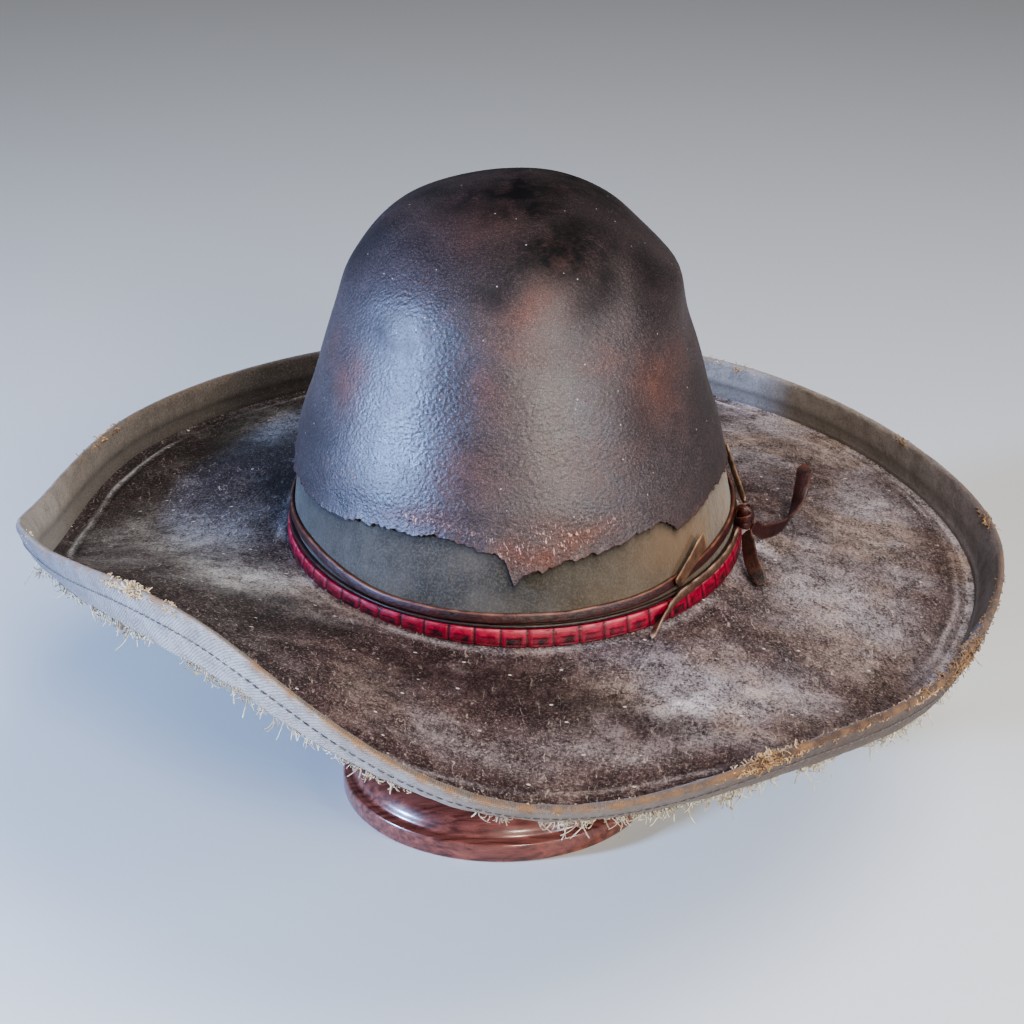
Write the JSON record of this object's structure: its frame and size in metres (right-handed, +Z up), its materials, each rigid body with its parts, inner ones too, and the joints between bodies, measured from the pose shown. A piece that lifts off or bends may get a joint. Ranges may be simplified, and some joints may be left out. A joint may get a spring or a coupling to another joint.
{
  "type": "wide-brim felt hat on a wooden stand",
  "caption": "Old wide-brim felt hat with a tall round crown, torn waxed cover, red leather band and knotted lace, on a turned wooden stand.",
  "frame": {"origin": "centre of the stand's flat underside", "axes": "+Z up, the hat's front at -Y, the wearer's left at +X"},
  "size_m": [0.3809, 0.4109, 0.2561],
  "materials": {
    "felt": "worn dark brown fur felt with grey dusty patches",
    "waxed_cover": "waxed, burnt dark brown, grained, with a soft sheen",
    "band_cloth": "olive-grey felted cloth, dry",
    "red_leather": "embossed in scales, semi-gloss, scorched marks",
    "dark_leather": "thin dark lace, smooth",
    "brown_leather": "oiled brown lace with paler cut edges",
    "ribbon": "faded ribbed ribbon with a frayed lower edge",
    "stand_wood": "turned, stained red-brown and varnished"
  },
  "bodies": {
    "root": {"felt_body": "felt", "crown_cover": "waxed_cover", "cloth_band": "band_cloth", "red_band": "red_leather", "thin_lace": "dark_leather", "flat_lace": "brown_leather", "lace_knot": "brown_leather", "tail_curl": "brown_leather", "tail_fold": "brown_leather", "tail_front": "brown_leather", "tail_cut": "brown_leather", "tail_upright": "brown_leather", "brim_binding": "ribbon", "stand_base": "stand_wood", "stand_post": "stand_wood"}
  },
  "joints": []
}
